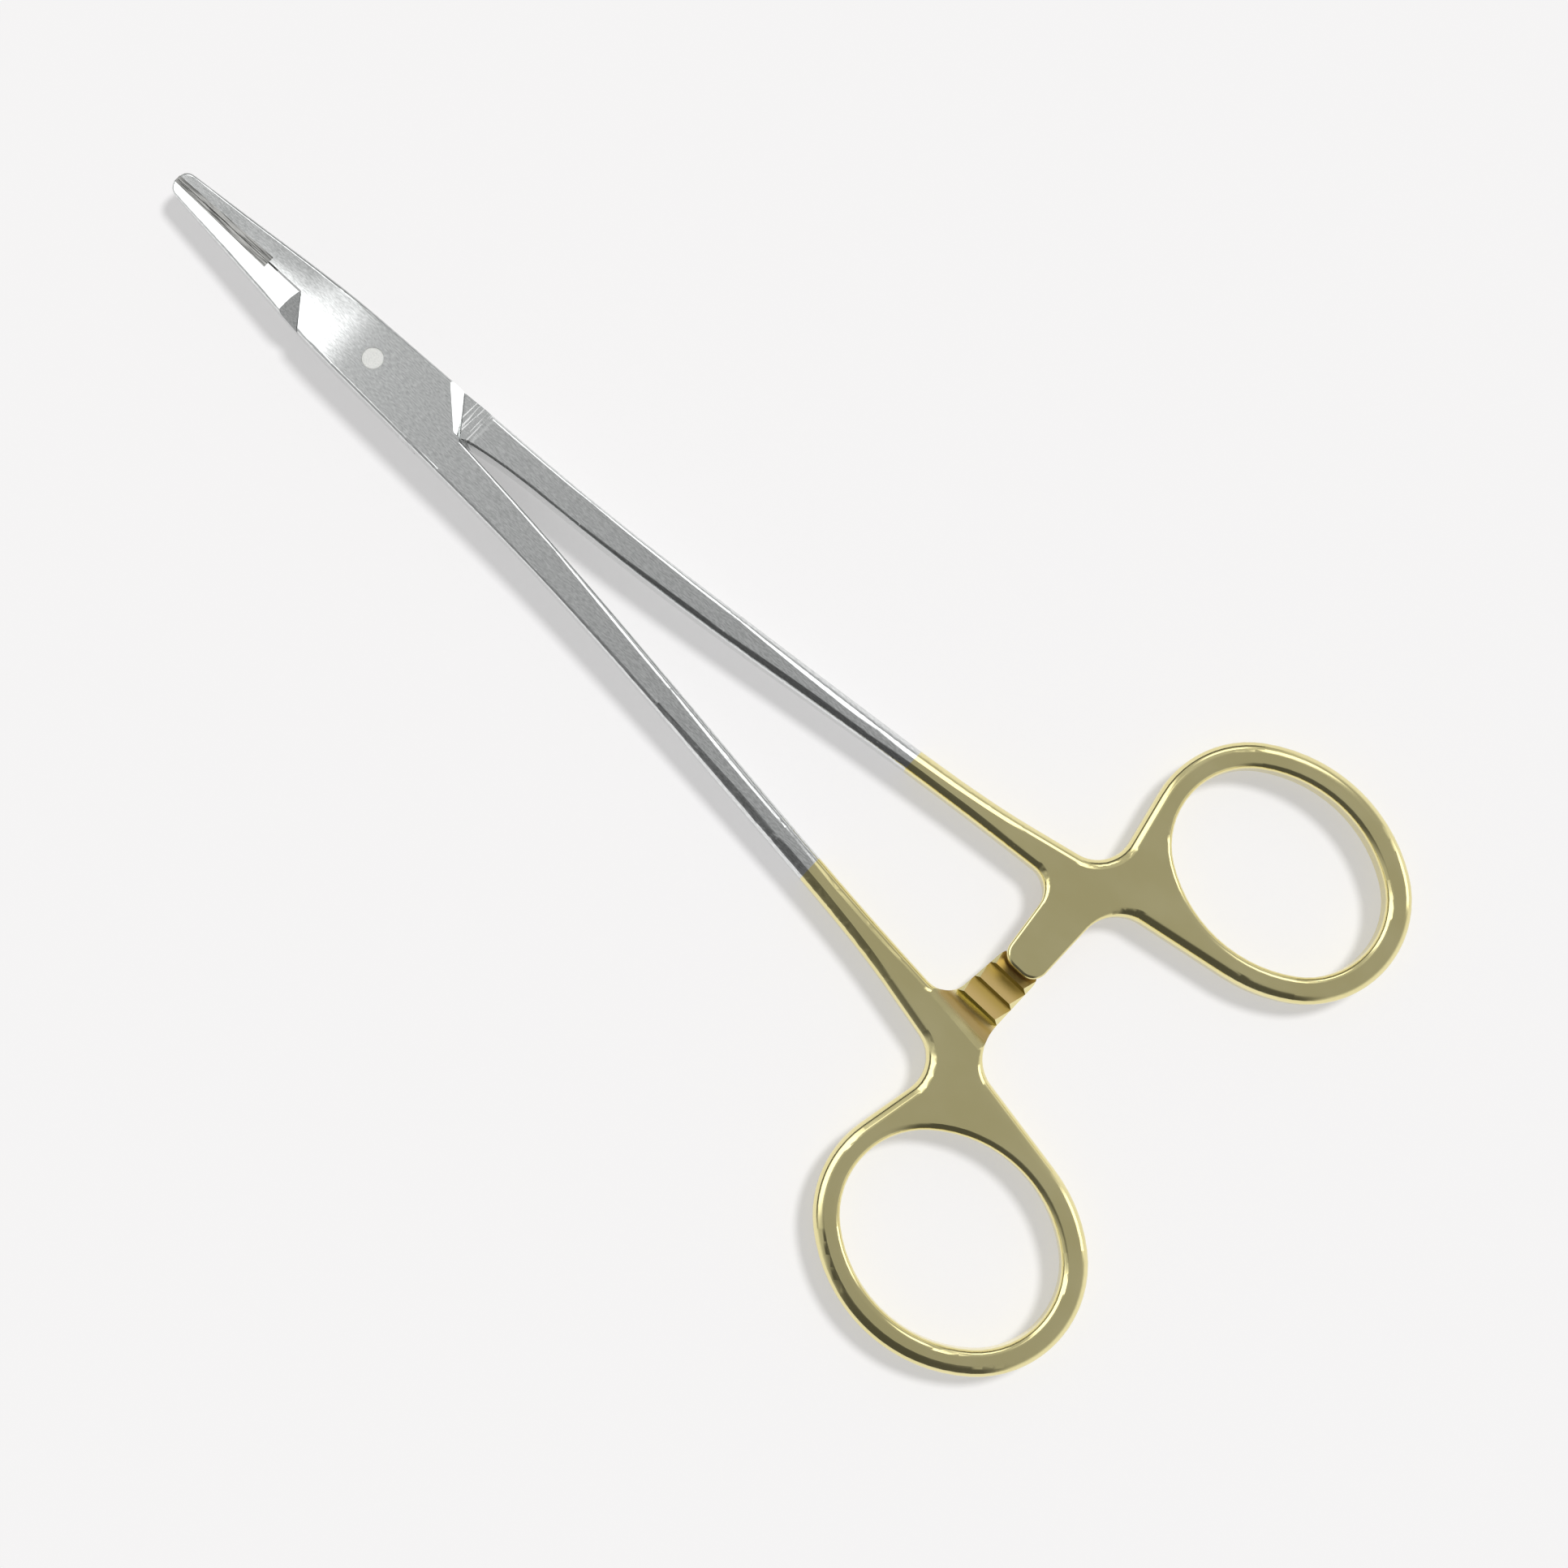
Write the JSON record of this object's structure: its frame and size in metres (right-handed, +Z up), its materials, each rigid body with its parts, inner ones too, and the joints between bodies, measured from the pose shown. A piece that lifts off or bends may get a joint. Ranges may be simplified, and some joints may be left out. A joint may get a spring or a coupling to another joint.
{
  "type": "surgical needle holder",
  "caption": "Hand-held needle holder with a box lock, ratchet arms, gripping jaw inserts and plated finger rings.",
  "frame": {"origin": "on the pivot axis, at the flat underside of the box lock", "axes": "+X to the jaw tips, +Y to the finger ring of the female half, +Z up along the pivot axis"},
  "size_m": [0.1615, 0.0814, 0.006],
  "materials": {
    "steel_female": "satin stainless steel, gold plated from the middle of the shank to the finger ring",
    "steel_male": "satin stainless steel, gold plated from the middle of the shank to the finger ring",
    "carbide": "dull dark grey hard metal with a fine serration",
    "pin_steel": "frosted stainless steel, ground flush"
  },
  "bodies": {
    "female_body": {"female_half": "steel_female", "insert_female": "carbide", "pivot_pin": "pin_steel"},
    "male_body": {"male_half": "steel_male", "insert_male": "carbide"}
  },
  "joints": [
    {"name": "box_lock_hinge", "type": "hinge", "parent": "female_body", "child": "male_body", "pos_m": [0, 0, 0.003], "axis": [0, 0, 1], "range_deg": [0, 30]}
  ]
}
